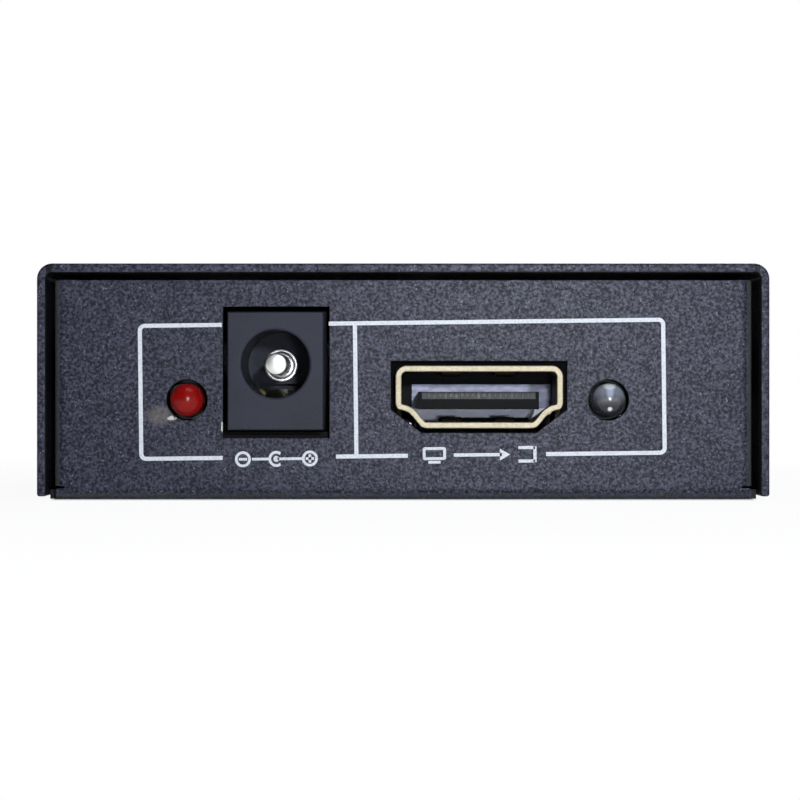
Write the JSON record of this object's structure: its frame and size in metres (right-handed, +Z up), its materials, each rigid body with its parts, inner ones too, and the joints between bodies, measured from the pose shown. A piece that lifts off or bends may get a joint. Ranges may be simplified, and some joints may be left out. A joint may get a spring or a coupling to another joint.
{
  "type": "video splitter box",
  "caption": "Small black folded-steel box that copies a digital video input to outputs, with barrel power jack, trapezoid sockets and round indicator lamps.",
  "frame": {"origin": "on the underside of the tray, below the middle of the case", "axes": "+X to the right as the input side is seen, +Y from the input side to the output side, +Z up"},
  "size_m": [0.066, 0.0566, 0.0213],
  "materials": {
    "case_paint": "fine-grained black powder coat",
    "screw_black": "black zinc",
    "zinc_steel": "bright zinc",
    "board_mask": "green solder mask",
    "socket_plate": "pale gold flash plating",
    "socket_plastic": "moulded black",
    "contact_gold": "gold plated",
    "jack_plastic": "smooth moulded black",
    "pin_nickel": "bright nickel",
    "spring_brass": "plain",
    "tin_plate": "tin plated",
    "lens_red": "tinted diffuse epoxy",
    "lens_clear": "water-clear epoxy",
    "chip_plastic": "moulded",
    "chip_ceramic": "fired ceramic",
    "can_aluminium": "bright can"
  },
  "bodies": {
    "case": {"chassis_tray": "case_paint", "top_cover": "case_paint", "case_screws": "screw_black", "board_standoffs": "zinc_steel", "board_screws": "zinc_steel", "clock_crystal": "zinc_steel", "circuit_board": "board_mask", "input_socket_shell": "socket_plate", "output1_socket_shell": "socket_plate", "output2_socket_shell": "socket_plate", "input_socket_insulator": "socket_plastic", "output1_socket_insulator": "socket_plastic", "output2_socket_insulator": "socket_plastic", "input_socket_contacts": "contact_gold", "output1_socket_contacts": "contact_gold", "output2_socket_contacts": "contact_gold", "jack_housing": "jack_plastic", "jack_centre_pin": "pin_nickel", "jack_sleeve_terminal": "spring_brass", "jack_pin_terminal": "tin_plate", "jack_switch_contact": "tin_plate", "power_lamp_leads": "tin_plate", "input_lamp_leads": "tin_plate", "output1_lamp_leads": "tin_plate", "output2_lamp_leads": "tin_plate", "splitter_chip_leads": "tin_plate", "memory_chip_leads": "tin_plate", "voltage_regulator_leads": "tin_plate", "chip_end_caps": "tin_plate", "power_lamp_lens": "lens_red", "input_lamp_lens": "lens_clear", "output1_lamp_lens": "lens_clear", "output2_lamp_lens": "lens_clear", "splitter_chip": "chip_plastic", "memory_chip": "chip_plastic", "voltage_regulator": "chip_plastic", "capacitor_bases": "chip_plastic", "chip_resistors": "chip_plastic", "surge_arrays": "chip_plastic", "input_diode": "chip_plastic", "chip_capacitors": "chip_ceramic", "capacitor_cans": "can_aluminium"},
    "sleeve_spring": {"jack_sleeve_spring": "spring_brass"}
  },
  "joints": [
    {"name": "sleeve_contact_flex", "type": "hinge", "parent": "case", "child": "sleeve_spring", "pos_m": [-0.01149, -0.0228, 0.0083], "axis": [1, 0, 0], "range_deg": [-9, 0], "stiffness_Nm_per_rad": 0.02, "springref_deg": 2.86}
  ]
}
